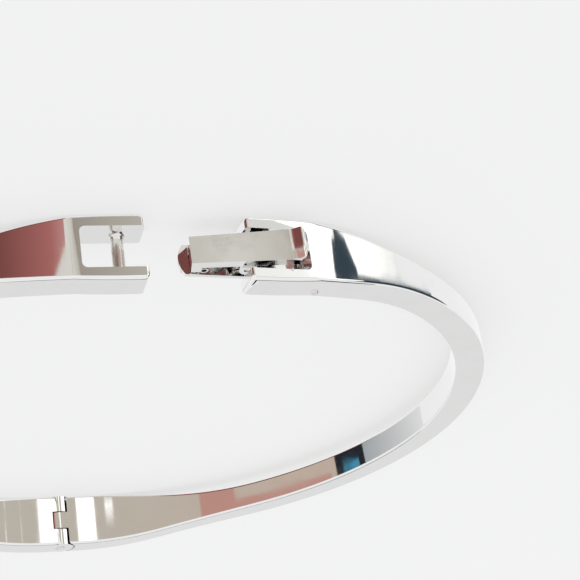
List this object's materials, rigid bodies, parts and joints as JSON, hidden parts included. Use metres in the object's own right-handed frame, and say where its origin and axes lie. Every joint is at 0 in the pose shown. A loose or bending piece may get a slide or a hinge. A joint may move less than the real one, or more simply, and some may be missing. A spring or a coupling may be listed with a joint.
{
  "type": "bangle bracelet",
  "caption": "Hinged bangle in polished metal: half rings on a flush pin hinge, with forked ends and a snap lever that hooks a cross bar.",
  "frame": {"origin": "centre of the ring, on the plane that its lower edge lies on", "axes": "+Z along the ring's axis, +Y towards the clasp, +X towards the half that carries the latch; the hinge is at -Y"},
  "size_m": [0.065, 0.0624, 0.0051],
  "materials": {
    "polished_band": "mirror-polished rhodium plate",
    "polished_clasp": "mirror-polished rhodium plate",
    "pins": "polished steel wire"
  },
  "bodies": {
    "latch_half": {"latch_bow": "polished_band", "tongue_plate": "polished_clasp", "tongue_rivet": "pins", "lever_pin": "pins", "bar_spring": "pins"},
    "catch_half": {"catch_bow": "polished_band", "hinge_pin": "pins", "catch_bar": "pins"},
    "lever": {"latch_lever": "polished_clasp"}
  },
  "joints": [
    {"name": "catch_hinge", "type": "hinge", "parent": "latch_half", "child": "catch_half", "pos_m": [0, -0.0294, 0.00255], "axis": [0, 0, 1], "range_deg": [-7, 48]},
    {"name": "lever_rock", "type": "hinge", "parent": "latch_half", "child": "lever", "pos_m": [0.0003, 0.02885, 0.00255], "axis": [0, 0, -1], "range_deg": [0, 18], "stiffness_Nm_per_rad": 0.002, "springref_deg": -11.46}
  ]
}
